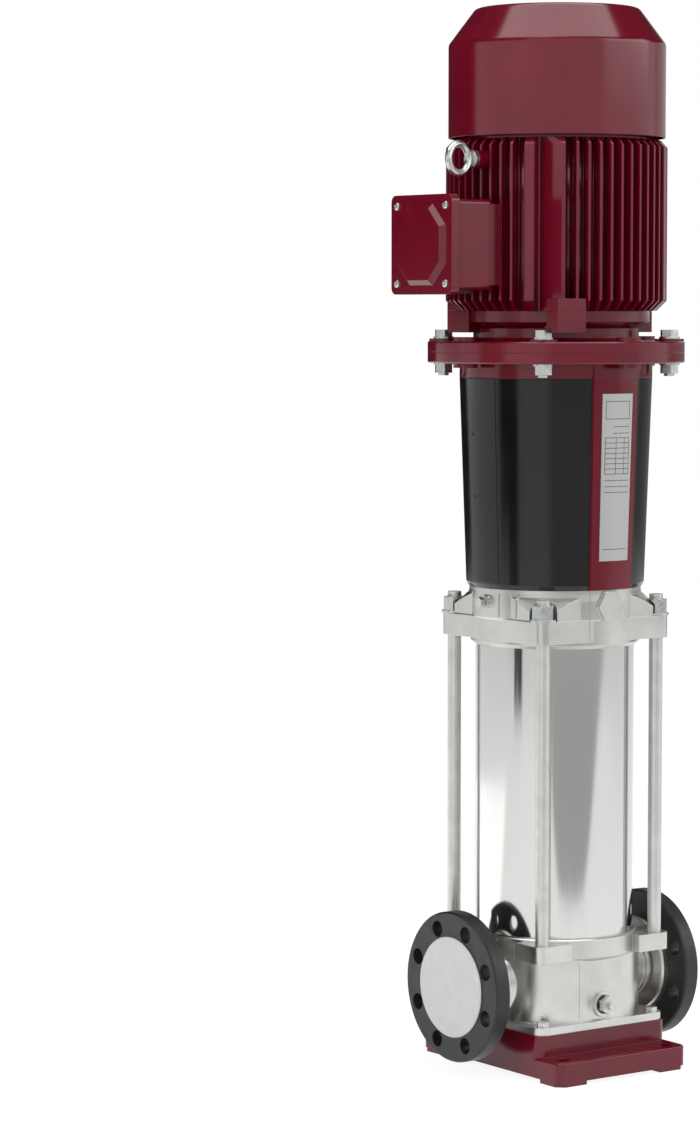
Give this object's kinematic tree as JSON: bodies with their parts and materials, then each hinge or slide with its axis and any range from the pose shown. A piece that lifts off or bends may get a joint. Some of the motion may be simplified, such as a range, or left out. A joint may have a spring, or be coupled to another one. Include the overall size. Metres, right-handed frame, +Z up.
{
  "type": "vertical multistage pump",
  "caption": "Vertical multistage centrifugal pump with loose port flanges, staybolts, coupling guards and a flange-mounted finned motor.",
  "frame": {"origin": "under the base plate, on the shaft axis, at the centre of the four base bolt holes", "axes": "+Z up along the shaft, +X from the suction port to the discharge port, -Y the front with the nameplate and drain plug"},
  "size_m": [0.3871, 0.3, 1.2354],
  "materials": {
    "red_gloss_paint": "deep wine-red gloss paint on cast metal",
    "cast_stainless": "satin glass-bead-blasted cast stainless steel",
    "black_flange_paint": "satin black coating on cast iron",
    "black_gloss_guard": "high-gloss black moulding",
    "polished_stainless": "mirror-polished stainless tube",
    "stainless_rod": "turned stainless steel",
    "zinc_steel": "bright zinc-plated steel",
    "spring_steel": "dark phosphated spring steel",
    "white_cover_plastic": "white moulded polyethylene",
    "grey_plate_aluminium": "light grey anodised aluminium sheet",
    "black_rubber": "black nitrile rubber",
    "stage_stainless": "pressed stainless sheet",
    "coupling_iron": "machined nodular iron",
    "shaft_steel": "ground carbon steel",
    "bearing_steel": "ground bearing steel",
    "core_steel": "stacked electrical steel sheet",
    "copper_winding": "varnished copper winding",
    "seal_carbon": "lapped carbon and carbide seal faces",
    "fan_plastic": "black moulded polypropylene",
    "entry_plastic": "black moulded polyamide"
  },
  "bodies": {
    "pump": {"base_plate": "red_gloss_paint", "bearing_outer_rings": "bearing_steel", "cable_entry_plugs": "entry_plastic", "chamber_1": "stage_stainless", "chamber_2": "stage_stainless", "chamber_3": "stage_stainless", "chamber_4": "stage_stainless", "coupling_guard_left": "black_gloss_guard", "coupling_guard_right": "black_gloss_guard", "drain_plug": "stainless_rod", "drain_plug_seal": "black_rubber", "eye_bolts": "zinc_steel", "fan_cover": "red_gloss_paint", "foot_bolts": "zinc_steel", "motor_flange_bolts": "zinc_steel", "motor_flange_nuts": "zinc_steel", "motor_flange_washers": "zinc_steel", "motor_frame": "red_gloss_paint", "motor_front_shield": "red_gloss_paint", "motor_rear_shield": "red_gloss_paint", "motor_stool": "red_gloss_paint", "nameplate": "grey_plate_aluminium", "outer_sleeve": "polished_stainless", "port_retaining_rings": "spring_steel", "priming_plug": "cast_stainless", "pump_base": "cast_stainless", "pump_head": "cast_stainless", "seal_carrier": "cast_stainless", "seal_screws": "zinc_steel", "seal_stationary_ring": "seal_carbon", "sleeve_gasket_lower": "black_rubber", "sleeve_gasket_upper": "black_rubber", "stator_core": "core_steel", "stator_windings": "copper_winding", "staybolt_nuts": "zinc_steel", "staybolt_washers": "zinc_steel", "staybolts": "stainless_rod", "stool_screws": "zinc_steel", "terminal_block": "entry_plastic", "terminal_box": "red_gloss_paint", "terminal_box_gasket": "black_rubber", "terminal_box_lid": "red_gloss_paint", "terminal_box_screws": "zinc_steel"},
    "rotor": {"motor_shaft": "shaft_steel", "rotor_core": "core_steel", "bearing_inner_rings": "bearing_steel", "cooling_fan": "fan_plastic", "coupling_halves": "coupling_iron", "coupling_bolts": "zinc_steel", "pump_shaft": "stage_stainless", "seal_rotating_ring": "seal_carbon", "impeller_1": "stage_stainless", "impeller_2": "stage_stainless", "impeller_3": "stage_stainless", "impeller_4": "stage_stainless"},
    "suction_flange": {"suction_flange": "black_flange_paint"},
    "discharge_flange": {"discharge_flange": "black_flange_paint"},
    "suction_cover": {"suction_port_cover": "white_cover_plastic"},
    "discharge_cover": {"discharge_port_cover": "white_cover_plastic"},
    "vent": {"vent_screw": "stainless_rod"}
  },
  "joints": [
    {"name": "shaft_spin", "type": "hinge", "parent": "pump", "child": "rotor", "pos_m": [0, 0, 0.6], "axis": [0, 0, 1], "continuous": true},
    {"name": "suction_flange_turn", "type": "hinge", "parent": "pump", "child": "suction_flange", "pos_m": [-0.14, 0, 0.103], "axis": [1, 0, 0], "continuous": true},
    {"name": "discharge_flange_turn", "type": "hinge", "parent": "pump", "child": "discharge_flange", "pos_m": [0.14, 0, 0.103], "axis": [1, 0, 0], "continuous": true},
    {"name": "suction_cover_pull", "type": "slide", "parent": "pump", "child": "suction_cover", "axis": [-1, 0, 0], "range_m": [0, 0.06]},
    {"name": "discharge_cover_pull", "type": "slide", "parent": "pump", "child": "discharge_cover", "axis": [1, 0, 0], "range_m": [0, 0.06]},
    {"name": "vent_screw_turn", "type": "hinge", "parent": "pump", "child": "vent", "pos_m": [-0.106, 0, 0.549], "axis": [-1, 0, 0], "continuous": true}
  ]
}
